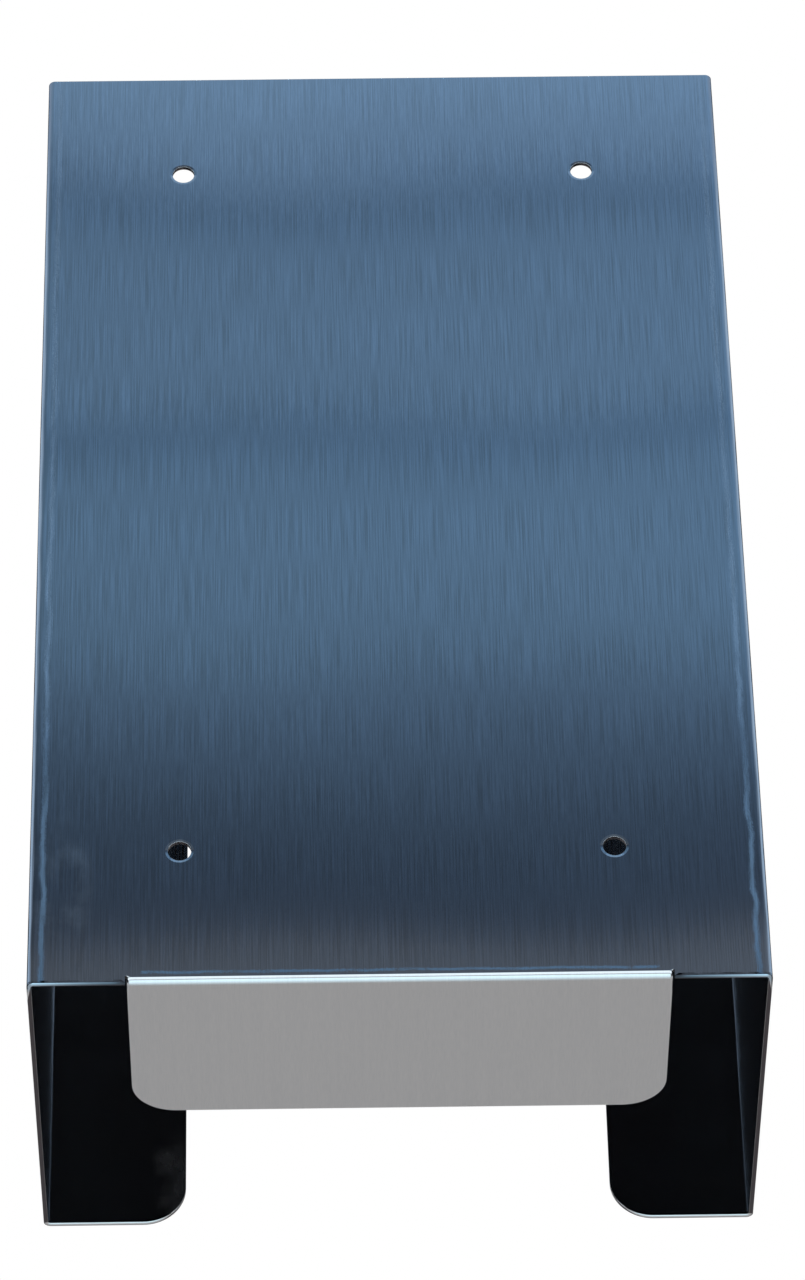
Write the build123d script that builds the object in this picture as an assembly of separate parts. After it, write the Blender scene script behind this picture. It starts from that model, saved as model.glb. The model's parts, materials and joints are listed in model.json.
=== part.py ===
"""Wall dispenser for boxes of disposable gloves, folded from one stainless sheet, in millimetres.

The part hangs upright on a wall. +Z is up, the wall is on the +Y side and the open front faces -Y. The origin
is the middle of the four screw holes, on the face that lies against the wall.
"""
import os

from build123d import *

# Outside sizes of the folded channel
width = 250.0
height = 420.0
depth = 145.0

# Sheet and its folds
sheet = 1.5
inner_bend = 1.0

# Front lips that keep the boxes in
lip_width = 50.0
lip_corner = 15.0

# Stop tab that the lowest box stands on
tab_inset = 33.5
tab_reach = 75.0
tab_corner = 15.0

# Relief slits at both ends of the tab's fold
slit_width = 0.5
slit_past_bend = 0.3

# Screw holes in the back panel
hole_diameter = 8.0
hole_dish_width = 0.9
hole_dish_depth = 0.07
hole_from_side = 51.0
hole_from_bottom = 55.0
hole_from_top = 49.0

# Sizes that follow from the ones above
outer_bend = inner_bend + sheet
tab_width = width - 2 * tab_inset
holes_across = width - 2 * hole_from_side
holes_up = height - hole_from_bottom - hole_from_top
bottom = -holes_up / 2 - hole_from_bottom
slit_top = bottom + outer_bend + slit_past_bend


def folded_strip(corners: list[tuple[float, float]]) -> Sketch:
    """The sheet seen on edge: its outer line with rounded folds, thickened towards the inside."""
    line = FilletPolyline(*corners, radius=outer_bend)
    return make_face(offset(line, amount=sheet, side=Side.RIGHT))


def channel() -> Part:
    """Back panel, side walls and front lips, as one profile carried up the full height."""
    side = width / 2
    lip_end = side - lip_width
    outline = [(-lip_end, -depth), (-side, -depth), (-side, 0), (side, 0), (side, -depth), (lip_end, -depth)]
    section = Plane.XY.offset(bottom) * folded_strip(outline)
    folded = extrude(section, height)
    lip_ends = folded.edges().filter_by(Axis.Y).sort_by(Axis.Y)[:4]
    return fillet(lip_ends, lip_corner)


def stop_tab() -> Part:
    """The tab folded forwards from the panel's bottom edge, its lower face level with the cut edges."""
    outline = [(0, slit_top), (0, bottom), (-tab_reach, bottom)]
    section = Plane.YZ.offset(-tab_width / 2) * folded_strip(outline)
    folded = extrude(section, tab_width)
    free_corners = folded.edges().filter_by(Axis.Z).sort_by(Axis.Y)[:2]
    return fillet(free_corners, tab_corner)


def tab_opening() -> Part:
    """What the tab's fold and its two relief slits take out of the back panel's bottom edge."""
    span = tab_width + 2 * slit_width
    opening = Box(span, 2 * sheet, slit_top - bottom, align=(Align.CENTER, Align.CENTER, Align.MIN))
    return Pos(0, 0, bottom) * opening


def screw_hole() -> Part:
    """One hole through the back panel, with the shallow dish that punching left round it on the wall side."""
    bore = Cylinder(hole_diameter / 2, 4 * sheet)
    wide = hole_diameter / 2 + hole_dish_width
    dish = Cone(hole_diameter / 2, wide, hole_dish_depth, align=(Align.CENTER, Align.CENTER, Align.MAX))
    return Rot(-90, 0, 0) * (bore + dish)


def dispenser_body() -> Part:
    """The whole folded sheet, with the four screw holes."""
    body = channel() - tab_opening() + stop_tab()
    for place in GridLocations(holes_across, holes_up, 2, 2):
        x, z = place.position.X, place.position.Y
        body -= Pos(x, 0, z) * screw_hole()
    return body


if __name__ == "__main__":
    os.makedirs("parts", exist_ok=True)
    export_step(dispenser_body(), "parts/dispenser_body.step")
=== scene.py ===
"""Looks of the wall dispenser for boxes of disposable gloves: one folded sheet of brushed stainless steel.

The sheet is laid out as its flat pattern, u across and v up, and then folded. +Z is up, the wall is on the
+Y side, and the open front faces -Y. Every length is in metres and every angle in degrees, unless a name says
else.
"""
import json
import logging
import math
from dataclasses import dataclass, field
from enum import IntEnum

import bpy
import numpy as np
from mathutils import Matrix, Vector

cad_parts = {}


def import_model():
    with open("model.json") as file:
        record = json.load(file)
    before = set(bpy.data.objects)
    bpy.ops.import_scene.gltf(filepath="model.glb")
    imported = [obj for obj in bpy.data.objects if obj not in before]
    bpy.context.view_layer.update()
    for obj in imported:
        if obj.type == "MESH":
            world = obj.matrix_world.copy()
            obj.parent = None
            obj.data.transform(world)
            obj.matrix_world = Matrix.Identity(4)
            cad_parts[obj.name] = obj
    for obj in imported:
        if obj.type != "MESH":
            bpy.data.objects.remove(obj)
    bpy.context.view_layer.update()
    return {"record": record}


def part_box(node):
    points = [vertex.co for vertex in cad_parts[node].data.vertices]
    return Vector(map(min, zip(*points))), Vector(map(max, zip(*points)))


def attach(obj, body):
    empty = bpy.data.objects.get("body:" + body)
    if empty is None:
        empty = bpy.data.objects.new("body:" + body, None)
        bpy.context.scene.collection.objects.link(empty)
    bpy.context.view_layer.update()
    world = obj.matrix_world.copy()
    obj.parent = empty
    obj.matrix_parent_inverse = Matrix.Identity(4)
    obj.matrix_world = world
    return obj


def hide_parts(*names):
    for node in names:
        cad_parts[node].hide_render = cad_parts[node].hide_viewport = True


MM = 0.001
NODE = "dispenser_body"
ACROSS_GRAIN = "across_grain"
FLAT_MAP = "flat_pattern"

log = logging.getLogger("dispenser")

Colour = tuple[float, float, float]
Span = tuple[float, float]
Socket = bpy.types.NodeSocket


class Slot(IntEnum):
    """Which finish a face wears."""

    OUTSIDE = 0
    INSIDE = 1
    RIM = 2
    CUT = 3


# Node trees


class NodeBench:
    """Puts nodes into one tree and joins them, with a number, a colour or a socket as any input."""

    def __init__(self, tree: bpy.types.NodeTree) -> None:
        """Empties the tree.

        Args:
            tree: the node tree of a material or a world.
        """
        self.tree = tree
        tree.nodes.clear()

    def add(self, kind: str, **settings: object) -> bpy.types.Node:
        """Adds one node.

        Args:
            kind: Blender's name for the node's type.
            settings: properties to set on it.

        Returns:
            The new node.
        """
        node = self.tree.nodes.new(kind)
        for name, value in settings.items():
            setattr(node, name, value)
        return node

    def feed(self, socket: Socket, value: object) -> None:
        """Joins value to an input if it is a socket, and sets it there if it is a number or a colour.

        Args:
            socket: the input.
            value: a socket, a number or a colour.
        """
        if isinstance(value, bpy.types.NodeSocket):
            self.tree.links.new(value, socket)
        elif isinstance(value, tuple) and len(value) == 3 and socket.type == "RGBA":
            socket.default_value = (*value, 1.0)
        else:
            socket.default_value = value

    def math(self, operation: str, *inputs: object, clamp: bool = False) -> Socket:
        """One Math node.

        Args:
            operation: Blender's name for the operation.
            inputs: its inputs in order.
            clamp: True to hold the result between 0 and 1.

        Returns:
            The result.
        """
        node = self.add("ShaderNodeMath", operation=operation, use_clamp=clamp)
        for socket, value in zip(node.inputs, inputs):
            self.feed(socket, value)
        return node.outputs[0]

    def ease(self, value: object, low: float, high: float) -> Socket:
        """A smooth step: 0 up to low and 1 from high, or the other way round where high is under low.

        Args:
            value: what is compared.
            low: where the step is still 0.
            high: where it has reached 1.

        Returns:
            The step, from 0 to 1.
        """
        node = self.add("ShaderNodeMapRange", interpolation_type="SMOOTHSTEP")
        self.feed(node.inputs["Value"], value)
        if low < high:
            bounds = (low, high, 0.0, 1.0)
        else:
            bounds = (high, low, 1.0, 0.0)
        for name, bound in zip(("From Min", "From Max", "To Min", "To Max"), bounds):
            node.inputs[name].default_value = bound
        return node.outputs["Result"]

    def mix(self, share: object, first: object, second: object) -> Socket:
        """Mixes two colours.

        Args:
            share: how much of the second.
            first: the colour at share 0.
            second: the colour at share 1.

        Returns:
            The mixed colour.
        """
        node = self.add("ShaderNodeMix", data_type="RGBA")
        self.feed(node.inputs[0], share)
        self.feed(node.inputs[6], first)
        self.feed(node.inputs[7], second)
        return node.outputs[2]

    def split(self, vector: Socket) -> list[Socket]:
        """The three parts of a vector.

        Args:
            vector: the vector.

        Returns:
            Its x, y and z.
        """
        node = self.add("ShaderNodeSeparateXYZ")
        self.feed(node.inputs[0], vector)
        return list(node.outputs)

    def noise(self, vector: Socket, stretch: tuple[float, float, float], detail: float = 2.0) -> Socket:
        """Noise with its own scale along each axis.

        Args:
            vector: the coordinates, in metres.
            stretch: how many noise cells fit in a metre along each axis.
            detail: how many octaves are added.

        Returns:
            The noise, about 0.5 on average.
        """
        place = self.add("ShaderNodeMapping")
        self.feed(place.inputs["Vector"], vector)
        place.inputs["Scale"].default_value = stretch
        node = self.add("ShaderNodeTexNoise")
        node.inputs["Scale"].default_value = 1.0
        node.inputs["Detail"].default_value = detail
        self.feed(node.inputs["Vector"], place.outputs[0])
        return node.outputs["Fac"]

    def spread(self, noise: Socket, height: float) -> Socket:
        """Noise moved to an average of 0 and multiplied by a height.

        Args:
            noise: the noise, about 0.5 on average.
            height: what it is multiplied by.

        Returns:
            The noise, from minus half the height to half of it.
        """
        return self.math("MULTIPLY", self.math("SUBTRACT", noise, 0.5), height)

    def scaled(self, way: Socket, share: object) -> Socket:
        """A vector times a number.

        Args:
            way: the vector.
            share: the number.

        Returns:
            The longer or shorter vector.
        """
        node = self.add("ShaderNodeVectorMath", operation="SCALE")
        self.feed(node.inputs[0], way)
        self.feed(node.inputs["Scale"], share)
        return node.outputs[0]

    def pair(self, operation: str, first: Socket, second: Socket) -> Socket:
        """A Vector Math node of two vectors.

        Args:
            operation: Blender's name for the operation.
            first: the first vector.
            second: the second vector.

        Returns:
            The result.
        """
        node = self.add("ShaderNodeVectorMath", operation=operation)
        self.feed(node.inputs[0], first)
        self.feed(node.inputs[1], second)
        return node.outputs[0]

    def tilted(self, across: Socket, slope: Socket, rise: Socket) -> Socket:
        """The surface's normal, tilted across the grain by one slope and along it by another.

        Args:
            across: the direction across the grain.
            slope: how much of it is added to the normal.
            rise: how much of the direction along the grain is added.

        Returns:
            The tilted normal, of length 1.
        """
        normal = self.add("ShaderNodeNewGeometry").outputs["Normal"]
        along = self.pair("CROSS_PRODUCT", across, normal)
        total = self.pair("ADD", self.scaled(across, slope), self.scaled(along, rise))
        total = self.pair("ADD", total, normal)
        node = self.add("ShaderNodeVectorMath", operation="NORMALIZE")
        self.feed(node.inputs[0], total)
        return node.outputs[0]

    def ramp(self, share: Socket, stops: list[tuple[float, Colour]]) -> Socket:
        """A row of colours, blended from stop to stop.

        Args:
            share: the place on the ramp, from 0 to 1.
            stops: each stop's place and colour.

        Returns:
            The colour at that place.
        """
        node = self.add("ShaderNodeValToRGB")
        self.feed(node.inputs[0], share)
        elements = node.color_ramp.elements
        while len(elements) < len(stops):
            elements.new(1.0)
        for element, (place, colour) in zip(elements, stops):
            element.position = place
            element.color = (*colour, 1.0)
        return node.outputs[0]


def new_material(name: str) -> tuple[bpy.types.Material, NodeBench, bpy.types.Node]:
    """A material with an empty tree, apart from a Principled shader at its output.

    Args:
        name: the material's name.

    Returns:
        The material, a bench on its tree, and the shader.
    """
    material = bpy.data.materials.new(name)
    material.use_nodes = True
    bench = NodeBench(material.node_tree)
    shader = bench.add("ShaderNodeBsdfPrincipled")
    output = bench.add("ShaderNodeOutputMaterial")
    bench.feed(output.inputs["Surface"], shader.outputs[0])
    return material, bench, shader


# Finishes


@dataclass(frozen=True)
class BrushedSteel:
    """Stainless sheet with a lengthwise brushed grain, press marks beside the folds and a few smudges.

    The grain runs along v. Press marks are thin lines that the folding tool left beside each fold.
    """

    name: str = "brushed_stainless"
    light: Colour = (0.64, 0.64, 0.637)
    dark: Colour = (0.59, 0.592, 0.594)
    roughness: float = 0.09
    anisotropy: float = 1.0
    grain_width: float = 0.40 * MM
    grain_length: float = 6 * MM
    coarse_cells: tuple[float, float] = (0.2, 0.12)
    fine_share: float = 0.75
    coarse_share: float = 0.35
    tint_span: tuple[float, float] = (0.3, 0.8)
    uneven_roughness: float = 0.04
    groove_length: float = 30 * MM
    groove_slope: float = 0.7
    groove_wander: float = 0.0035
    mark_slope: float = 0.045
    grit: float = 0.3 * MM
    smudge_roughness: float = 0.12
    side_mark: float = 120.3 * MM
    tab_mark: float = -208.9 * MM
    tab_mark_half: float = 87.5 * MM
    mark_width: float = 1.4 * MM
    mark_core: float = 0.1
    mark_wobble: float = 3.2 * MM
    mark_wobble_cells: float = 70.0
    mark_patches: tuple[float, float] = (260.0, 60.0)
    mark_least: float = 0.25
    mark_worst: tuple[float, float] = (60 * MM, -140 * MM)
    tab_mark_width: float = 0.6
    tab_mark_wobble: float = 0.4
    tab_mark_fade: float = 2 * MM
    smudge_cells: float = 55.0
    smudge_at: tuple[float, float] = (114 * MM, -172 * MM)
    smudge_reach: tuple[float, float] = (11 * MM, 30 * MM)

    def press_marks(self, bench: NodeBench, place: Socket) -> Socket:
        """Where the folding tool left its lines: 1 on a scuffed grain and 0 elsewhere.

        A line is the band where the distance from its station, with a slow wobble added, is under its width.
        It is scuffed grain by grain, so it fades out where fewer of its grains are touched. The tab's line is
        narrower and straighter than the side lines.

        Args:
            bench: the material's bench.
            place: the flat pattern's coordinates.

        Returns:
            The share, 0 or 1.
        """
        u, v, _ = bench.split(place)
        wobble = bench.noise(place, (self.mark_wobble_cells, self.mark_wobble_cells, 1.0), 4.0)
        wobble = bench.spread(wobble, self.mark_wobble)
        across = bench.math("SUBTRACT", bench.math("ABSOLUTE", u), self.side_mark)
        side = bench.math("ABSOLUTE", bench.math("ADD", across, wobble))
        core = self.mark_core * self.mark_width
        side = bench.ease(side, self.mark_width, core)
        worst = bench.math("MULTIPLY", bench.ease(v, *self.mark_worst), 1 - self.mark_least)
        worst = bench.math("ADD", worst, self.mark_least)
        side = bench.math("MULTIPLY", side, worst)
        upward = bench.math("SUBTRACT", v, self.tab_mark)
        wobble = bench.math("MULTIPLY", wobble, self.tab_mark_wobble)
        low = bench.math("ABSOLUTE", bench.math("ADD", upward, wobble))
        low = bench.ease(low, self.tab_mark_width * self.mark_width, core)
        fade_from = self.tab_mark_half - self.tab_mark_fade
        within = bench.ease(bench.math("ABSOLUTE", u), self.tab_mark_half, fade_from)
        patchy = bench.ease(bench.noise(place, (*self.mark_patches, 1.0), 3.0), 0.1, 0.6)
        both = bench.math("MAXIMUM", side, bench.math("MULTIPLY", low, within))
        both = bench.math("MULTIPLY", both, patchy)
        grains = bench.noise(place, (1 / self.grit, 1 / self.grit, 1.0), 0.0)
        return bench.math("GREATER_THAN", both, bench.ease(grains, 0.25, 0.75))

    def smudges(self, bench: NodeBench, place: Socket) -> Socket:
        """Finger smudges near a lower corner of the back, as a share from 0 to 1.

        The patch is 1 deep inside an ellipse and fades out past its edge, broken up by noise.

        Args:
            bench: the material's bench.
            place: the flat pattern's coordinates.

        Returns:
            How strong the smudge is.
        """
        u, v, _ = bench.split(place)
        dx = bench.math("DIVIDE", bench.math("SUBTRACT", u, self.smudge_at[0]), self.smudge_reach[0])
        dy = bench.math("DIVIDE", bench.math("SUBTRACT", v, self.smudge_at[1]), self.smudge_reach[1])
        away = bench.math("ADD", bench.math("MULTIPLY", dx, dx), bench.math("MULTIPLY", dy, dy))
        patch = bench.ease(away, 1.3, 0.2)
        broken = bench.noise(place, (self.smudge_cells, self.smudge_cells, 1.0), 4.0)
        broken = bench.ease(broken, 0.38, 0.66)
        return bench.math("MULTIPLY", patch, broken)

    def material(self) -> bpy.types.Material:
        """Builds the material.

        Streaks are noise squeezed across the grain and drawn out along it. They tint the steel, vary its
        roughness and tilt its surface. Press marks tilt it more, and smudges are rougher.

        Returns:
            The material.
        """
        material, bench, shader = new_material(self.name)
        place = bench.add("ShaderNodeUVMap", uv_map=FLAT_MAP).outputs[0]
        fine = bench.noise(place, (1 / self.grain_width, 1 / self.grain_length, 1.0), 3.0)
        wide, tall = self.coarse_cells
        coarse = bench.noise(place, (wide / self.grain_width, tall / self.grain_length, 1.0), 2.0)
        fine_part = bench.math("MULTIPLY", fine, self.fine_share)
        tint = bench.math("ADD", fine_part, bench.math("MULTIPLY", coarse, self.coarse_share))
        tint = bench.ease(tint, *self.tint_span)
        bench.feed(shader.inputs["Base Color"], bench.mix(tint, self.dark, self.light))
        marks = self.press_marks(bench, place)
        smudge = self.smudges(bench, place)
        rough = bench.math("ADD", bench.spread(fine, self.uneven_roughness), self.roughness)
        rough = bench.math("ADD", rough, bench.math("MULTIPLY", smudge, self.smudge_roughness))
        bench.feed(shader.inputs["Roughness"], rough)
        grooves = bench.noise(place, (1 / self.grain_width, 1 / self.groove_length, 1.0), 2.0)
        across = bench.add("ShaderNodeAttribute", attribute_name=ACROSS_GRAIN).outputs["Vector"]
        slope = bench.spread(grooves, self.groove_slope)
        wander = bench.spread(fine, self.groove_wander)
        rise = bench.math("ADD", bench.math("MULTIPLY", marks, self.mark_slope), wander)
        bench.feed(shader.inputs["Normal"], bench.tilted(across, slope, rise))
        bench.feed(shader.inputs["Tangent"], across)
        shader.inputs["Metallic"].default_value = 1.0
        shader.inputs["Anisotropic"].default_value = self.anisotropy
        return material


@dataclass(frozen=True)
class PolishedRimAndSheen:
    """The rounded, lightly polished rims of the cut edges.

    Between the stop tab and the side folds the colour holds painted light: a bright blue painted highlight
    near the folds that darkens into painted shade towards the tab.
    """

    tab_half: float
    panel_bottom: float
    light: Colour = (0.70, 0.70, 0.70)
    dark: Colour = (0.60, 0.60, 0.60)
    # Painted highlight colour near the side folds, and painted shade colour beside the tab.
    sheen_near_folds: Colour = (0.50, 0.62, 0.72)
    shade_beside_tab: Colour = (0.075, 0.10, 0.125)
    sheen_from: float = 86 * MM
    sheen_to: float = 125 * MM
    sheen_fade: float = 4 * MM
    roughness: float = 0.22
    uneven_roughness: float = 0.12
    speck: float = 0.8 * MM

    def material(self) -> bpy.types.Material:
        """Builds the material: steel with a fine uneven polish. The painted highlight is the square of a ramp
        across u.

        Returns:
            The material.
        """
        material, bench, shader = new_material("rim_polish_and_sheen")
        place = bench.add("ShaderNodeTexCoord").outputs["Object"]
        cells = 1 / self.speck
        worn = bench.noise(place, (cells, cells, cells), 2.0)
        plain = bench.mix(worn, self.dark, self.light)
        u, v, _ = bench.split(bench.add("ShaderNodeUVMap", uv_map=FLAT_MAP).outputs[0])
        off = bench.math("ABSOLUTE", u)
        # Painted light: the rim turns from painted shade beside the tab to a blue painted highlight near the
        # folds.
        sheen_share = bench.math("SUBTRACT", off, self.sheen_from)
        sheen_share = bench.math("DIVIDE", sheen_share, self.sheen_to - self.sheen_from, clamp=True)
        painted_sheen = bench.mix(bench.math("MULTIPLY", sheen_share, sheen_share), self.shade_beside_tab, self.sheen_near_folds)
        beside_tab = bench.math("GREATER_THAN", off, self.tab_half)
        short_of_wall = bench.ease(off, self.sheen_to + self.sheen_fade, self.sheen_to)
        within = bench.math("MULTIPLY", beside_tab, short_of_wall)
        within = bench.math("MULTIPLY", within, bench.math("GREATER_THAN", v, self.panel_bottom))
        bench.feed(shader.inputs["Base Color"], bench.mix(within, plain, painted_sheen))
        uneven = bench.spread(worn, self.uneven_roughness)
        bench.feed(shader.inputs["Roughness"], bench.math("ADD", uneven, self.roughness))
        shader.inputs["Metallic"].default_value = 1.0
        return material


@dataclass(frozen=True)
class CutFace:
    """The dull cut face of the sheet, with fine lines across its thickness."""

    light: Colour = (0.12, 0.105, 0.11)
    dark: Colour = (0.05, 0.042, 0.045)
    roughness: float = 0.42
    uneven_roughness: float = 0.2
    line_pitch: float = 0.25 * MM
    line_depth: float = 0.008 * MM

    def material(self) -> bpy.types.Material:
        """Builds the material. Noise on the flat pattern is the same through the thickness, and draws lines.

        Returns:
            The material.
        """
        material, bench, shader = new_material("cut_face")
        place = bench.add("ShaderNodeUVMap", uv_map=FLAT_MAP).outputs[0]
        cells = 1 / self.line_pitch
        lines = bench.noise(place, (cells, cells, 1.0), 2.0)
        bench.feed(shader.inputs["Base Color"], bench.mix(lines, self.dark, self.light))
        uneven = bench.spread(lines, self.uneven_roughness)
        bench.feed(shader.inputs["Roughness"], bench.math("ADD", uneven, self.roughness))
        bump = bench.add("ShaderNodeBump")
        bump.inputs["Distance"].default_value = self.line_depth
        bench.feed(bump.inputs["Height"], lines)
        bench.feed(shader.inputs["Normal"], bump.outputs[0])
        shader.inputs["Metallic"].default_value = 1.0
        return material


# The sheet's geometry


@dataclass(frozen=True)
class Section:
    """The outer line of the sheet seen on edge: straight runs, with a quarter turn to the right between them.

    A length along it counts each fold by the sheet's middle layer, so both faces of the sheet share it.
    """

    start: tuple[float, float]
    heading: float
    runs: tuple[float, ...]
    outer_bend: float
    fold_length: float

    def walk(self, length: np.ndarray) -> tuple[np.ndarray, np.ndarray]:
        """Where the outer line is after a length, and which way the sheet's outer face looks there.

        Each straight run adds its clipped length along its heading h. Each fold, turned by t, adds
        R (sin h - sin(h - t)) and R (cos(h - t) - cos h), with R the outer radius.

        Args:
            length: lengths along the line.

        Returns:
            The points and the outward directions, each with two columns.
        """
        heading = math.radians(self.heading)
        done = 0.0
        x = np.full_like(length, self.start[0])
        y = np.full_like(length, self.start[1])
        now = np.full_like(length, heading)
        for number, run in enumerate(self.runs):
            if number > 0:
                turn = np.clip((length - done) / self.fold_length, 0, 1) * math.pi / 2
                x += self.outer_bend * (math.sin(heading) - np.sin(heading - turn))
                y += self.outer_bend * (np.cos(heading - turn) - math.cos(heading))
                now -= turn
                heading -= math.pi / 2
                done += self.fold_length
            along = np.clip(length - done, 0, run)
            x += along * math.cos(heading)
            y += along * math.sin(heading)
            done += run
        outward = np.stack([-np.sin(now), np.cos(now)], -1)
        return np.stack([x, y], -1), outward


@dataclass
class FlatMesh:
    """Quads on the flat pattern, with its outline marked for the edges."""

    places: np.ndarray
    quads: np.ndarray
    in_hole: np.ndarray

    def outline(self) -> np.ndarray:
        """The directed edges that only one quad has, so that the sheet lies on their left.

        Returns:
            One row of two points per edge.
        """
        edges = np.stack([self.quads, np.roll(self.quads, -1, 1)], -1).reshape(-1, 2)
        count = len(self.places)
        keys = edges[:, 0] * count + edges[:, 1]
        back = edges[:, 1] * count + edges[:, 0]
        return edges[~np.isin(keys, back)]

    def mitres(self, edges: np.ndarray) -> np.ndarray:
        """How far each point moves when the outline grows by 1: (a + b) / (1 + a.b) of its edges' normals.

        Args:
            edges: the outline's edges.

        Returns:
            One outward step per point, and 0 off the outline.
        """
        along = self.places[edges[:, 1]] - self.places[edges[:, 0]]
        along /= np.linalg.norm(along, axis=1, keepdims=True)
        normal = np.stack([along[:, 1], -along[:, 0]], -1)
        first = np.zeros_like(self.places)
        second = np.zeros_like(self.places)
        first[edges[:, 0]] = normal
        second[edges[:, 1]] = normal
        both = 1 + (first * second).sum(1, keepdims=True)
        return (first + second) / both


def ruled(stations: list[tuple[float, float]]) -> np.ndarray:
    """Grid lines through every station, with about the given spacing up to the next one.

    Args:
        stations: each station and the spacing after it, from low to high.

    Returns:
        The lines, from the first station to the last.
    """
    parts = [np.array([stations[0][0]])]
    for (low, spacing), (high, _) in zip(stations, stations[1:]):
        steps = max(1, round((high - low) / spacing))
        parts.append(np.linspace(low, high, steps + 1)[1:])
    return np.concatenate(parts)


@dataclass
class DispenserSheet:
    """The whole dispenser: back panel, side walls, front lips and stop tab, folded from one sheet."""

    width: float
    height: float
    depth: float
    bottom: float
    holes_across: float
    holes_up: float
    hole_radius: float
    sheet: float = 1.5 * MM
    inner_bend: float = 1.0 * MM
    lip_width: float = 50 * MM
    lip_corner: float = 15 * MM
    tab_inset: float = 33.5 * MM
    tab_reach: float = 75 * MM
    tab_corner: float = 15 * MM
    slit_width: float = 0.5 * MM
    slit_past_bend: float = 0.3 * MM
    dish_width: float = 0.9 * MM
    dish_depth: float = 0.07 * MM
    hole_patch: float = 10 * MM
    hole_ring_shares: tuple[float, ...] = (0.3, 0.55, 0.72, 0.82, 1.0)
    rim: float = 0.05 * MM
    panel_rim: float = 1.25 * MM
    lip_rim: float = 1.2 * MM
    lip_rim_reach: float = 3.5 * MM
    tab_rim: float = 0.3 * MM
    tab_fold_rim: float = 1.25 * MM
    coarse: float = 7 * MM
    medium: float = 1.6 * MM
    fine: float = 0.3 * MM
    fold_steps: int = 10
    ripple: float = 0.05 * MM
    ripple_across: float = 31 * MM
    ripple_up: float = 38 * MM
    ripple_sway: float = 0.6
    ripple_sway_up: float = 47 * MM
    mark_depth: float = 0.008 * MM
    mark_sway: float = 0.25 * MM
    mark_sway_fast: float = 9 * MM
    mark_sway_slow: float = 23 * MM
    finish: BrushedSteel = field(default_factory=BrushedSteel)
    reverse: BrushedSteel = BrushedSteel(
        name="mill_finish",
        light=(0.50, 0.50, 0.50),
        dark=(0.43, 0.43, 0.435),
        mark_slope=0.0,
        smudge_roughness=0.22,
        smudge_at=(310 * MM, -193 * MM),
        smudge_reach=(7 * MM, 20 * MM),
    )

    def __post_init__(self) -> None:
        """Works out the sizes that follow from the fields."""
        self.outer_bend = self.inner_bend + self.sheet
        self.fold_length = (self.inner_bend + self.sheet / 2) * math.pi / 2
        flat = self.width / 2 - self.outer_bend
        wall = self.depth - 2 * self.outer_bend
        lip = self.lip_width - self.outer_bend
        self.section = Section((0.0, 0.0), 0.0, (flat, wall, lip), self.outer_bend, self.fold_length)
        self.half_pattern = flat + wall + lip + 2 * self.fold_length
        self.top = self.bottom + self.height
        self.tab_half = self.width / 2 - self.tab_inset
        self.fold_top = self.bottom + self.outer_bend
        self.slit_top = self.fold_top + self.slit_past_bend
        straight = self.tab_reach - self.outer_bend
        runs = (self.slit_past_bend, straight)
        self.tab_section = Section((0.0, self.slit_top), -90.0, runs, self.outer_bend, self.fold_length)
        self.tab_end = self.fold_top - self.fold_length - straight

    def lines_across(self) -> np.ndarray:
        """Grid lines across the pattern, mirrored about its middle, and closer at folds, holes and corners.

        Returns:
            The lines' u.
        """
        hole = self.holes_across / 2
        first_fold = self.width / 2 - self.outer_bend
        wall = first_fold + self.fold_length
        second_fold = wall + self.depth - 2 * self.outer_bend
        lip = second_fold + self.fold_length
        fold_step = self.fold_length / self.fold_steps
        half = ruled(
            [
                (0.0, self.coarse),
                (hole - self.hole_patch, self.medium),
                (self.tab_half - self.tab_corner, self.medium),
                (hole + self.hole_patch, self.medium),
                (self.tab_half, self.slit_width),
                (self.tab_half + self.slit_width, self.coarse),
                (self.finish.side_mark - 4 * self.fine, self.fine),
                (self.finish.side_mark + 4 * self.fine, 3 * self.fine),
                (first_fold, fold_step),
                (wall, self.coarse),
                (second_fold, fold_step),
                (lip, self.coarse),
                (self.half_pattern - self.lip_corner, self.medium),
                (self.half_pattern, self.medium),
            ]
        )
        return np.concatenate([-half[:0:-1], half])

    def lines_up(self) -> np.ndarray:
        """Grid lines up the pattern, from the tab's free edge to the top edge.

        Returns:
            The lines' v.
        """
        hole = self.holes_up / 2
        fold_step = self.fold_length / self.fold_steps
        return ruled(
            [
                (self.tab_end, self.medium),
                (self.tab_end + self.tab_corner, self.coarse),
                (self.fold_top - self.fold_length, fold_step),
                (self.bottom, fold_step),
                (self.fold_top, self.slit_past_bend),
                (self.slit_top, self.fine),
                (self.finish.tab_mark + 3 * self.fine, self.medium),
                (self.bottom + self.lip_corner, self.coarse),
                (-hole - self.hole_patch, self.medium),
                (-hole + self.hole_patch, self.coarse),
                (hole - self.hole_patch, self.medium),
                (hole + self.hole_patch, self.coarse),
                (self.top - self.lip_corner, self.medium),
                (self.top, self.medium),
            ]
        )

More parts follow.
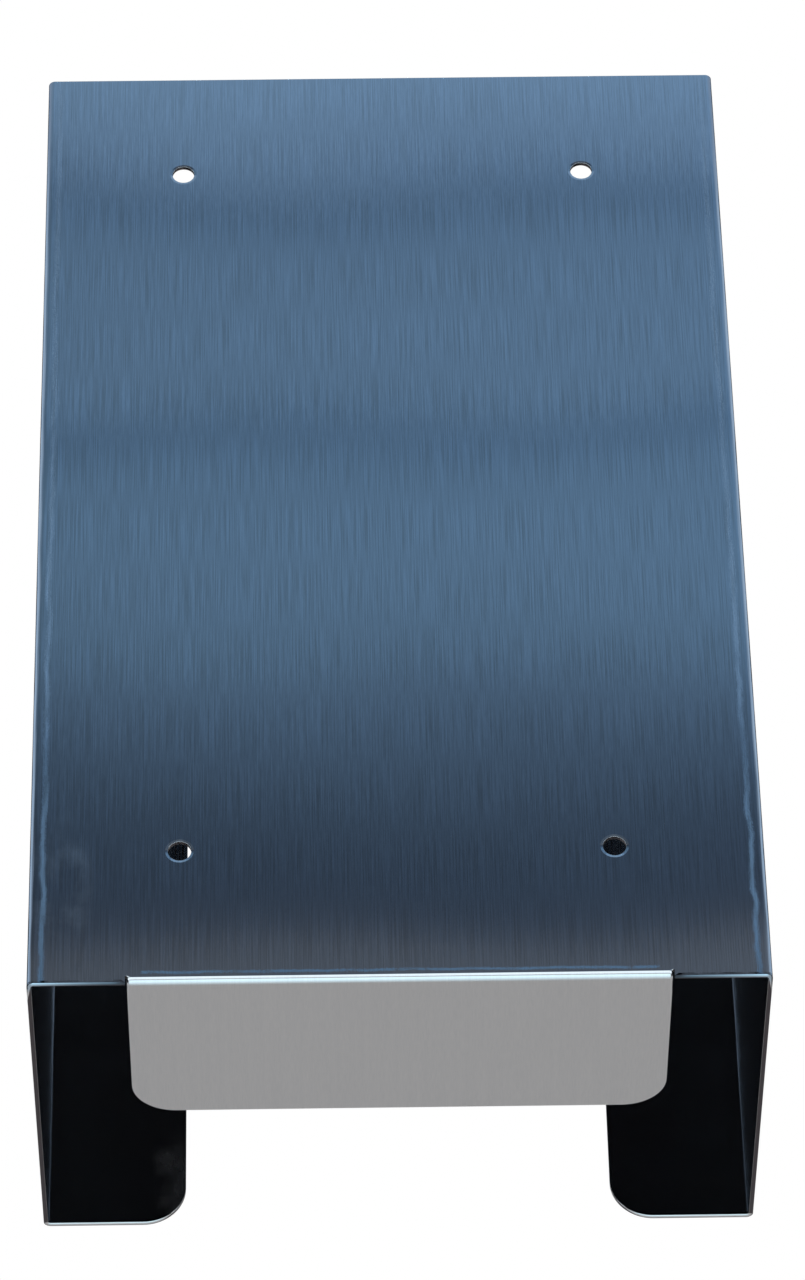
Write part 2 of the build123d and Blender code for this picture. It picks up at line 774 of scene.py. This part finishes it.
    def rounded(self, places: np.ndarray, u_end: float, v_end: float, radius: float) -> np.ndarray:
        """Rounds one corner of the pattern and its mirror image.

        A square block's shares a and b, from 0 to 1, become a sqrt(1 - b b / 2) and b sqrt(1 - a a / 2), so
        its outer sides bend into a quarter circle and its inner sides stay straight.

        Args:
            places: the pattern's points.
            u_end: the corner's distance from the pattern's middle.
            v_end: the corner's v.
            radius: the corner's radius, taken towards the pattern's middle.

        Returns:
            The points, with those in the block moved.
        """
        side = 1.0 if v_end > 0 else -1.0
        a = (np.abs(places[:, 0]) - (u_end - radius)) / radius
        b = (side * places[:, 1] - (side * v_end - radius)) / radius
        tiny = 1e-9
        inside = (a > -tiny) & (a < 1 + tiny) & (b > -tiny) & (b < 1 + tiny)
        a, b = np.clip(a, 0, 1), np.clip(b, 0, 1)
        u = u_end - radius + radius * a * np.sqrt(1 - b * b / 2)
        v = side * (side * v_end - radius + radius * b * np.sqrt(1 - a * a / 2))
        moved = np.stack([np.sign(places[:, 0]) * u, v], -1)
        return np.where(inside[:, None], moved, places)

    def flat_mesh(self) -> FlatMesh:
        """The flat pattern as quads: a ruled grid, cut to the outline, with a round patch about each hole.

        Returns:
            The mesh on the flat pattern.
        """
        u, v = self.lines_across(), self.lines_up()
        rows = len(v)
        places = np.stack(np.meshgrid(u, v, indexing="ij"), -1).reshape(-1, 2)
        u_mid = np.abs(u[1:] + u[:-1])[:, None] / 2
        v_mid = (v[1:] + v[:-1])[None, :] / 2
        beside_tab = (v_mid > self.bottom) & (u_mid > self.tab_half + self.slit_width)
        keep = beside_tab | (v_mid > self.slit_top) | (u_mid < self.tab_half)
        across, up = self.holes_across / 2, self.holes_up / 2
        in_patch = (abs(u_mid - across) < self.hole_patch) & (abs(np.abs(v_mid) - up) < self.hole_patch)
        cells = np.argwhere(keep & ~in_patch)
        low = cells[:, 0] * rows + cells[:, 1]
        quads = [np.stack([low, low + rows, low + rows + 1, low + 1], -1)]
        places = self.rounded(places, self.half_pattern, self.bottom, self.lip_corner)
        places = self.rounded(places, self.half_pattern, self.top, self.lip_corner)
        low_end = np.abs(places[:, 0]) <= self.tab_half + 1e-9
        tab = self.rounded(places, self.tab_half, self.tab_end, self.tab_corner)
        places = np.where(low_end[:, None], tab, places)
        points = [places]
        in_hole = [np.zeros(len(places), bool)]
        count = len(places)
        for x in (-across, across):
            for z in (-up, up):
                ring, patch = self.hole_rings(u, v, x, z)
                inner = count + np.arange(patch.shape[0] * len(ring)).reshape(-1, len(ring))
                levels = np.vstack([ring, inner])
                follow = np.roll(levels, -1, 1)
                wall = [levels[:-1], follow[:-1], follow[1:], levels[1:]]
                quads.append(np.stack(wall, -1).reshape(-1, 4))
                points.append(patch.reshape(-1, 2))
                on_rim = np.zeros(patch.shape[:2], bool)
                on_rim[-1] = True
                in_hole.append(on_rim.ravel())
                count += inner.size
        return tidy_flat(FlatMesh(np.vstack(points), np.vstack(quads), np.concatenate(in_hole)))

    def hole_rings(self, u: np.ndarray, v: np.ndarray, x: float, z: float) -> tuple[np.ndarray, np.ndarray]:
        """The square round a hole and the rings that lead from it to the hole's circle.

        A ring point is the square's point and the circle's point at the same angle, blended.

        Args:
            u: the grid's lines across.
            v: the grid's lines up.
            x: the hole's middle, across.
            z: the hole's middle, up.

        Returns:
            The square's points in the grid, counter-clockwise, and the rings' points from the outermost in.
        """
        left, right = np.argmin(abs(u - (x - self.hole_patch))), np.argmin(abs(u - (x + self.hole_patch)))
        low, high = np.argmin(abs(v - (z - self.hole_patch))), np.argmin(abs(v - (z + self.hole_patch)))
        across, up = np.arange(left, right), np.arange(low, high)
        i = np.concatenate([across, np.full(len(up), right), across[::-1] + 1, np.full(len(up), left)])
        j = np.concatenate([np.full(len(across), low), up, np.full(len(across), high), up[::-1] + 1])
        square = np.stack([u[i], v[j]], -1)
        centre = np.array([x, z])
        out = square - centre
        circle = centre + self.hole_radius * out / np.linalg.norm(out, axis=1, keepdims=True)
        shares = np.array(self.hole_ring_shares)[:, None, None]
        return i * len(v) + j, square + shares * (circle - square)

    def hollow(self, places: np.ndarray) -> np.ndarray:
        """How deep the sheet lies inside its true face: a slow ripple, and a groove under each side mark.

        The ripple is a product of sines, from 0 to its full height. The groove is a bell curve across u.

        Args:
            places: points of the flat pattern.

        Returns:
            The depth at each point.
        """
        u, v = places[:, 0], places[:, 1]
        sway = self.ripple_sway * np.sin(v / self.ripple_sway_up)
        wave = np.sin(u / self.ripple_across + sway) * np.cos(v / self.ripple_up + 0.4)
        wobble = self.mark_sway * np.sin(v / self.mark_sway_fast) * np.sin(v / self.mark_sway_slow + 1.0)
        off = (np.abs(u) - self.finish.side_mark - wobble) / self.finish.mark_width
        return self.ripple * (0.5 + 0.5 * wave) + self.mark_depth * np.exp(-off * off)

    def folded(self, places: np.ndarray, depth: np.ndarray) -> dict[str, np.ndarray]:
        """Folds points of the flat pattern into space.

        A point is the section's outer line at |u|, less its depth along the outward direction, with v as its
        height. Below the tab's fold the same is done across the tab's own section, with u as its x.

        Args:
            places: points of the flat pattern.
            depth: how far each lies below the sheet's outer face.

        Returns:
            at, the points; and outward, across and along, the unit directions of the sheet's outer face, of u
            and of v there.
        """
        u, v = places[:, 0], places[:, 1]
        side = np.where(u < 0, -1.0, 1.0)
        line, out = self.section.walk(np.abs(u))
        flat = line - depth[:, None] * out
        at = np.stack([side * flat[:, 0], flat[:, 1], v], -1)
        outward = np.stack([side * out[:, 0], out[:, 1], np.zeros_like(u)], -1)
        across = np.stack([out[:, 1], -side * out[:, 0], np.zeros_like(u)], -1)
        along = np.tile([0.0, 0.0, 1.0], (len(u), 1))
        low = (v < self.slit_top + 1e-9) & (np.abs(u) < self.tab_half + self.slit_width / 2)
        line, out = self.tab_section.walk(np.maximum(self.slit_top - v, 0))
        bent = line - depth[:, None] * out
        tab_at = np.stack([u, bent[:, 0], bent[:, 1]], -1)
        tab_out = np.stack([np.zeros_like(u), out[:, 0], out[:, 1]], -1)
        tab_across = np.tile([1.0, 0.0, 0.0], (len(u), 1))
        tab_along = np.stack([np.zeros_like(u), -out[:, 1], out[:, 0]], -1)
        pick = low[:, None]
        return {
            "at": np.where(pick, tab_at, at),
            "outward": np.where(pick, tab_out, outward),
            "across": np.where(pick, tab_across, across),
            "along": np.where(pick, tab_along, along),
        }

    def face_tilt(self, places: np.ndarray, folded: dict[str, np.ndarray]) -> np.ndarray:
        """The true outward direction of the rippled face: outward + slope across u + slope along v.

        Args:
            places: points of the flat pattern.
            folded: what folded() gives for them.

        Returns:
            Unit directions.
        """
        step = 0.05 * MM
        slopes = []
        for axis in range(2):
            shift = np.zeros(2)
            shift[axis] = step
            slopes.append((self.hollow(places + shift) - self.hollow(places - shift)) / (2 * step))
        across_u, along_v = slopes[0][:, None] * folded["across"], slopes[1][:, None] * folded["along"]
        tilt = folded["outward"] + across_u + along_v
        return tilt / np.linalg.norm(tilt, axis=1, keepdims=True)

    def rims(self, places: np.ndarray) -> tuple[np.ndarray, np.ndarray]:
        """How far filing has rounded the cut edge's rims: hardly at all on the walls, most on the panel.

        The panel's outer rim fades up its slits and past its folds as a bell curve, and the tab's away from
        its fold. The lips' inner rim fades up the lip in the same way.

        Args:
            places: points on the outline.

        Returns:
            The outer and the inner rim's radius.
        """
        u, v = np.abs(places[:, 0]), places[:, 1]
        first_fold = self.width / 2 - self.outer_bend
        low = np.exp(-(((v - self.bottom) / self.lip_corner) ** 2))
        past_fold = np.maximum(u - first_fold - self.fold_length, 0) / self.outer_bend
        panel = (self.panel_rim - self.rim) * low * np.exp(-(past_fold**2))
        lowest = np.exp(-(((v - self.bottom) / self.lip_rim_reach) ** 2))
        lip = (self.lip_rim - self.rim) * lowest * (u > self.half_pattern - self.lip_width)
        near_fold = np.exp(-(((v - self.fold_top) / (2 * self.outer_bend)) ** 2))
        tab = self.tab_rim + (self.tab_fold_rim - self.tab_rim) * near_fold
        on_tab = u < self.tab_half + self.slit_width / 2
        beside_slit = (u < self.tab_half + 1.1 * self.slit_width) & (v > self.bottom)
        outer = self.rim + np.where(on_tab | beside_slit, 0, panel)
        outer = np.where(on_tab & (v < self.fold_top + self.rim), tab, outer)
        return outer, self.rim + lip

    def edge_rows(self, flat: FlatMesh, ring: np.ndarray, step: np.ndarray) -> list[dict[str, np.ndarray]]:
        """The rows of points that carry the sheet's edge from its outer face round to its inner face.

        Round a rim of radius r, the row at angle t steps r (sin t - 1) outwards and lies r (1 - cos t) deep.
        A screw hole has a shallow dish instead, and no outer rim.

        Args:
            flat: the flat mesh.
            ring: the points on its outline.
            step: the outward step of each.

        Returns:
            For each row, the flat places, the depths, and how much its faces look outwards in the pattern
            (lean) and along the sheet's outward direction (lift).
        """
        places = flat.places[ring]
        outer, inner = self.rims(places)
        hole = flat.in_hole[ring]
        dish = math.degrees(math.atan2(self.dish_depth, self.dish_width))
        dish_rows = ((-1.0, 0.0, 0.0), (-0.97, 0.03, dish), (-0.06, 0.94, dish), (0.0, 1.8, 90.0))
        rows = []
        for angle, (back, drop, look) in zip((0, 30, 60, 90), dish_rows):
            turn = math.radians(angle)
            out = np.where(hole, self.dish_width * back, outer * (math.sin(turn) - 1))
            down = np.where(hole, self.dish_depth * drop, outer * (1 - math.cos(turn)))
            faces = np.radians(np.where(hole, look, angle))
            row = {"places": places + step * out[:, None], "depth": down}
            rows.append(row | {"lean": np.sin(faces), "lift": np.cos(faces)})
        for angle in (90, 60, 30, 0):
            turn = math.radians(angle)
            out, up = math.sin(turn) - 1, 1 - math.cos(turn)
            row = {"places": places + step * (inner * out)[:, None], "depth": self.sheet - inner * up}
            even = np.ones(len(ring))
            rows.append(row | {"lean": even * math.sin(turn), "lift": -even * math.cos(turn)})
        return rows

    def build(self) -> bpy.types.Object:
        """Folds both faces of the flat pattern, joins them round every cut edge, and makes the object.

        Returns:
            The dispenser, closed, with its faces pointing outwards.
        """
        flat = self.flat_mesh()
        edges = flat.outline()
        mitre = flat.mitres(edges)
        ring, spot = np.unique(edges, return_inverse=True)
        spot = spot.reshape(edges.shape)
        rows = self.edge_rows(flat, ring, mitre[ring])
        count = len(flat.places)
        outer, inner = flat.places.copy(), flat.places.copy()
        outer[ring], inner[ring] = rows[0]["places"], rows[-1]["places"]
        places = np.vstack([outer, inner] + [row["places"] for row in rows[1:-1]])
        depths = [np.zeros(count), np.full(count, self.sheet)] + [row["depth"] for row in rows[1:-1]]
        folded = self.folded(places, np.concatenate(depths) + self.hollow(places))
        tilt = self.face_tilt(places, folded)
        lift = np.concatenate([np.ones(count), -np.ones(count)] + [row["lift"] for row in rows[1:-1]])
        lean = np.concatenate([np.zeros(2 * count)] + [row["lean"] for row in rows[1:-1]])
        way = np.vstack([mitre, mitre] + [mitre[ring]] * (len(rows) - 2))
        way = way / np.maximum(np.linalg.norm(way, axis=1, keepdims=True), 1e-12)
        sideways = way[:, :1] * folded["across"] + way[:, 1:] * folded["along"]
        normals = lift[:, None] * tilt + lean[:, None] * sideways
        normals /= np.linalg.norm(normals, axis=1, keepdims=True)
        levels = [ring] + [2 * count + k * len(ring) + np.arange(len(ring)) for k in range(len(rows) - 2)]
        levels.append(ring + count)
        faces = [flat.quads[:, ::-1], flat.quads + count]
        wears = [np.full(len(flat.quads), Slot.OUTSIDE), np.full(len(flat.quads), Slot.INSIDE)]
        middle = len(rows) // 2 - 1
        for k, (above, below) in enumerate(zip(levels, levels[1:])):
            first, second = spot[:, 0], spot[:, 1]
            faces.append(np.stack([above[first], above[second], below[second], below[first]], -1))
            wear = np.full(len(edges), Slot.CUT if k == middle else Slot.RIM)
            wears.append(np.where(flat.in_hole[edges[:, 0]] & (k < 2), Slot.OUTSIDE, wear))
        mesh = mesh_of(NODE.replace("body", "sheet"), folded["at"], np.vstack(faces), np.concatenate(wears))
        put_map(mesh, places)
        put_vectors(mesh, ACROSS_GRAIN, folded["across"])
        mesh.normals_split_custom_set_from_vertices(normals.tolist())
        return link(bpy.data.objects.new(mesh.name, mesh))

    def dress(self, piece: bpy.types.Object) -> None:
        """Gives the sheet its finishes, in the order of Slot.

        Args:
            piece: the dispenser.
        """
        rim = PolishedRimAndSheen(tab_half=self.tab_half + self.slit_width / 2, panel_bottom=self.bottom - 1 * MM)
        for finish in (self.finish, self.reverse, rim, CutFace()):
            piece.data.materials.append(finish.material())


def tidy_flat(flat: FlatMesh) -> FlatMesh:
    """Drops the points that no quad uses.

    Args:
        flat: the flat mesh.

    Returns:
        The same mesh without them.
    """
    used, quads = np.unique(flat.quads, return_inverse=True)
    return FlatMesh(flat.places[used], quads.reshape(-1, 4), flat.in_hole[used])


def mesh_of(name: str, points: np.ndarray, quads: np.ndarray, wears: np.ndarray) -> bpy.types.Mesh:
    """A smooth mesh of quads.

    Args:
        name: the mesh's name.
        points: its points.
        quads: four points for each face.
        wears: each face's material slot.

    Returns:
        The mesh.
    """
    mesh = bpy.data.meshes.new(name)
    mesh.from_pydata(points.tolist(), [], quads.tolist())
    mesh.polygons.foreach_set("material_index", wears.astype(np.int32))
    mesh.polygons.foreach_set("use_smooth", np.ones(len(quads), bool))
    mesh.update()
    return mesh


def put_map(mesh: bpy.types.Mesh, places: np.ndarray) -> None:
    """Stores the flat pattern's coordinates as the mesh's UV map.

    Args:
        mesh: the mesh.
        places: each point's u and v.
    """
    corners = np.empty(len(mesh.loops), np.int32)
    mesh.loops.foreach_get("vertex_index", corners)
    layer = mesh.uv_layers.new(name=FLAT_MAP)
    layer.uv.foreach_set("vector", places[corners].astype(np.float32).ravel())


def put_vectors(mesh: bpy.types.Mesh, name: str, vectors: np.ndarray) -> None:
    """Stores one vector per point.

    Args:
        mesh: the mesh.
        name: the attribute's name.
        vectors: each point's vector.
    """
    layer = mesh.attributes.new(name, "FLOAT_VECTOR", "POINT")
    layer.data.foreach_set("vector", vectors.astype(np.float32).ravel())


def link(thing: bpy.types.Object) -> bpy.types.Object:
    """Puts an object into the scene and gives it back.

    Args:
        thing: the object.

    Returns:
        The same object.
    """
    bpy.context.scene.collection.objects.link(thing)
    return thing


# The studio


def sine(degrees: float) -> float:
    """The sine of an angle in degrees, which is the z of a unit direction at that height.

    Args:
        degrees: the angle.

    Returns:
        Its sine.
    """
    return math.sin(math.radians(degrees))


@dataclass(frozen=True)
class Sky:
    """What surrounds the dispenser: bright near the horizon, then a dark belt, then blue above the wall side.

    The back panel mirrors the belt and the blue above it. The open channel mirrors the dark over the front.
    Each belt stop is a height in degrees and its colour. The spans give where one colour starts to give way
    and where it has: in degrees for the high and horizon spans, and as parts of a unit direction for the rest.
    """

    belt: tuple[tuple[float, Colour], ...] = (
        (35.0, (0.085, 0.118, 0.165)),
        (36.28, (0.124, 0.145, 0.180)),
        (36.45, (0.033, 0.053, 0.090)),
        (37.4, (0.048, 0.078, 0.126)),
        (38.6, (0.090, 0.155, 0.250)),
        (39.1, (0.120, 0.215, 0.340)),
        (39.8, (0.136, 0.245, 0.390)),
        (40.8, (0.132, 0.240, 0.385)),
        (40.95, (0.086, 0.165, 0.285)),
        (41.15, (0.086, 0.165, 0.285)),
        (41.3, (0.142, 0.252, 0.402)),
        (42.9, (0.138, 0.245, 0.395)),
        (43.08, (0.082, 0.158, 0.275)),
        (43.25, (0.094, 0.176, 0.302)),
        (43.5, (0.162, 0.280, 0.455)),
        (44.4, (0.220, 0.382, 0.605)),
        (46.0, (0.260, 0.420, 0.640)),
    )
    left_tint: Colour = (0.82, 0.81, 0.79)
    right_tint: Colour = (1.16, 1.19, 1.23)
    high_right_tint: Colour = (1.08, 1.09, 1.11)
    low_wall: Colour = (1.35, 1.55, 1.70)
    low_front: Colour = (0.62, 0.63, 0.64)
    sides: Colour = (0.42, 0.58, 0.80)
    high_sides: Colour = (0.26, 0.36, 0.52)
    over_front: Colour = (0.008, 0.008, 0.011)
    ceiling: Colour = (0.90, 0.85, 0.80)
    backdrop: Colour = (1.0, 1.0, 1.0)
    backdrop_low: Colour = (0.82, 0.82, 0.83)
    high_span: Span = (42.8, 44.0)
    horizon_span: Span = (29.0, 23.0)
    across_span: Span = (-0.25, 0.25)
    side_span: Span = (0.62, -0.05)
    front_span: Span = (-0.36, -0.56)
    low_front_span: Span = (-0.2, -0.7)
    ceiling_span: Span = (0.82, 0.94)
    backdrop_span: Span = (0.0, 0.3)

    def build(self) -> None:
        """Makes the world.

        The height of a direction picks a colour of the belt. The belt gives way to the sides' blue as the
        direction turns away from the wall side, and to the dark as it turns to the front. Under the belt it
        gives way to the bright horizon. The camera itself sees a plain pale backdrop.
        """
        world = bpy.data.worlds.new("studio")
        bpy.context.scene.world = world
        world.use_nodes = True
        bench = NodeBench(world.node_tree)
        way = bench.add("ShaderNodeTexCoord").outputs["Generated"]
        x, y, z = bench.split(way)
        low, high = (sine(self.belt[k][0]) for k in (0, -1))
        share = bench.math("DIVIDE", bench.math("SUBTRACT", z, low), high - low, clamp=True)
        stops = [((sine(stop) - low) / (high - low), colour) for stop, colour in self.belt]
        upper = bench.ramp(share, stops)
        height = bench.ease(z, *map(sine, self.high_span))
        right = bench.mix(height, self.right_tint, self.high_right_tint)
        lean = bench.mix(bench.ease(x, *self.across_span), right, self.left_tint)
        tint = bench.add("ShaderNodeMix", data_type="RGBA", blend_type="MULTIPLY")
        tint.inputs[0].default_value = 1.0
        bench.feed(tint.inputs[6], upper)
        bench.feed(tint.inputs[7], lean)
        beside = bench.mix(height, self.sides, self.high_sides)
        upper = bench.mix(bench.ease(y, *self.side_span), tint.outputs[2], beside)
        upper = bench.mix(bench.ease(y, *self.front_span), upper, self.over_front)
        upper = bench.mix(bench.ease(z, *self.ceiling_span), upper, self.ceiling)
        lower = bench.mix(bench.ease(y, *self.low_front_span), self.low_wall, self.low_front)
        seen = bench.mix(bench.ease(z, *map(sine, self.horizon_span)), upper, lower)
        pale = bench.mix(bench.ease(z, *self.backdrop_span), self.backdrop_low, self.backdrop)
        from_camera = bench.add("ShaderNodeLightPath").outputs["Is Camera Ray"]
        glow = bench.add("ShaderNodeBackground")
        bench.feed(glow.inputs["Color"], bench.mix(from_camera, seen, pale))
        output = bench.add("ShaderNodeOutputWorld")
        bench.feed(output.inputs["Surface"], glow.outputs[0])


@dataclass(frozen=True)
class Floor:
    """The plain pale floor, as far below the dispenser as below one on a wall."""

    height: float = -1.6
    radius: float = 6.0
    rings: int = 24
    spokes: int = 96
    light: Colour = (0.865, 0.772, 0.695)
    dark: Colour = (0.835, 0.742, 0.665)

    def build(self) -> bpy.types.Object:
        """Makes the floor: points at radius r and angle t, as r cos t and r sin t.

        Returns:
            The floor.
        """
        radii = np.linspace(0.02, 1.0, self.rings) * self.radius
        angles = np.linspace(0, 2 * math.pi, self.spokes, endpoint=False)
        x = np.outer(radii, np.cos(angles))
        y = np.outer(radii, np.sin(angles))
        points = np.stack([x, y, np.full_like(x, self.height)], -1).reshape(-1, 3)
        index = np.arange(self.rings * self.spokes).reshape(self.rings, self.spokes)
        follow = np.roll(index, -1, 1)
        quads = np.stack([index[:-1], index[1:], follow[1:], follow[:-1]], -1).reshape(-1, 4)
        middle = len(points)
        points = np.vstack([points, [0.0, 0.0, self.height]])
        hub = np.stack([np.full(self.spokes, middle), index[0], follow[0]], -1)
        mesh = bpy.data.meshes.new("floor")
        mesh.from_pydata(points.tolist(), [], quads.tolist() + hub.tolist())
        mesh.update()
        floor = link(bpy.data.objects.new("floor", mesh))
        material, bench, shader = new_material("pale_floor")
        place = bench.add("ShaderNodeTexCoord").outputs["Object"]
        mottle = bench.noise(place, (3.0, 3.0, 3.0), 3.0)
        bench.feed(shader.inputs["Base Color"], bench.mix(mottle, self.dark, self.light))
        shader.inputs["Roughness"].default_value = 0.9
        mesh.materials.append(material)
        return floor


@dataclass(frozen=True)
class Lamp:
    """One soft lamp, aimed at a point."""

    name: str
    place: tuple[float, float, float]
    target: tuple[float, float, float]
    power: float
    size: float
    colour: Colour = (1.0, 1.0, 1.0)
    cone: float = 0.0

    def build(self) -> None:
        """Makes the lamp: a square panel, or a spot with soft rims if it has a cone."""
        kind = "SPOT" if self.cone else "AREA"
        light = bpy.data.lights.new(self.name, kind)
        light.energy = self.power
        light.color = self.colour
        if self.cone:
            light.spot_size = math.radians(self.cone)
            light.spot_blend = 1.0
            light.shadow_soft_size = self.size
        else:
            light.size = self.size
        lamp = link(bpy.data.objects.new(self.name, light))
        aim = Vector(self.target) - Vector(self.place)
        lamp.matrix_world = Matrix.Translation(self.place) @ aim.to_track_quat("-Z", "Y").to_matrix().to_4x4()


@dataclass(frozen=True)
class PhotoCamera:
    """The camera, below and behind the dispenser, looking up at its back and its open bottom end."""

    place: tuple[float, float, float] = (0.02743, 1.67315, -1.43026)
    target: tuple[float, float, float] = (-0.00346, 0.0, -0.06664)
    roll: float = -1.336
    lens_mm: float = 173.76
    sensor_mm: float = 36.0

    def build(self) -> None:
        """Makes the scene's camera."""
        data = bpy.data.cameras.new("camera")
        data.lens = self.lens_mm
        data.sensor_width = self.sensor_mm
        data.sensor_fit = "AUTO"
        data.clip_start, data.clip_end = 0.05, 60.0
        camera = link(bpy.data.objects.new("camera", data))
        aim = Vector(self.target) - Vector(self.place)
        turn = aim.to_track_quat("-Z", "Y").to_matrix().to_4x4()
        twist = Matrix.Rotation(math.radians(self.roll), 4, "Z")
        camera.matrix_world = Matrix.Translation(self.place) @ turn @ twist
        bpy.context.scene.camera = camera


@dataclass
class Studio:
    """Floor, sky, lamps and camera."""

    sky: Sky = field(default_factory=Sky)
    floor: Floor = field(default_factory=Floor)
    camera: PhotoCamera = field(default_factory=PhotoCamera)
    lamps: tuple[Lamp, ...] = (
        Lamp("wall_side_spot", (0.0, 2.2, 3.4), (0.0, 1.7, -1.6), 2000.0, 0.5, (0.485, 0.80, 1.03), 50.0),
        Lamp("front_softbox", (-1.0, -1.5, 3.2), (0.0, 0.0, 0.0), 12.0, 1.2),
    )

    def build(self) -> None:
        """Makes all of it, and shows the light's numbers as they are, without a film look."""
        self.sky.build()
        self.floor.build()
        for lamp in self.lamps:
            lamp.build()
        self.camera.build()
        bpy.context.scene.view_settings.view_transform = "Standard"


def sheet_from_frame(record: dict) -> DispenserSheet:
    """The dispenser's sizes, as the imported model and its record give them.

    Args:
        record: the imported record.

    Returns:
        The sheet, ready to build.
    """
    low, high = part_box(NODE)
    size = high - low
    screws = next(m for m in record["mounts"] if m["name"] == "wall_screws")
    across, up, radius = screw_pattern(screws)
    return DispenserSheet(size.x, size.z, size.y, low.z, across, up, radius)


def screw_pattern(mount: dict) -> tuple[float, float, float]:
    """The screw holes' spacing and radius.

    Args:
        mount: the record's bolt pattern.

    Returns:
        The spacing across, the spacing up and a hole's radius.
    """
    size = mount["dims"]
    return size["spacing_x_mm"] * MM, size["spacing_y_mm"] * MM, size["hole_r_mm"] * MM


def corners(box: tuple[Vector, Vector]) -> list[list[float]]:
    """A box as plain lists of numbers.

    Args:
        box: its lowest and highest corner.

    Returns:
        The same two corners.
    """
    return [list(box[0]), list(box[1])]


def main() -> None:
    """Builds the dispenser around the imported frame, then the studio."""
    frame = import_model()
    sheet = sheet_from_frame(frame["record"])
    piece = sheet.build()
    sheet.dress(piece)
    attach(piece, "root")
    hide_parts(NODE)
    log.info("%s: %d points, %d faces", piece.name, len(piece.data.vertices), len(piece.data.polygons))
    Studio().build()


if __name__ == "__main__":
    logging.basicConfig(level=logging.INFO, format="%(name)s: %(message)s")
    main()
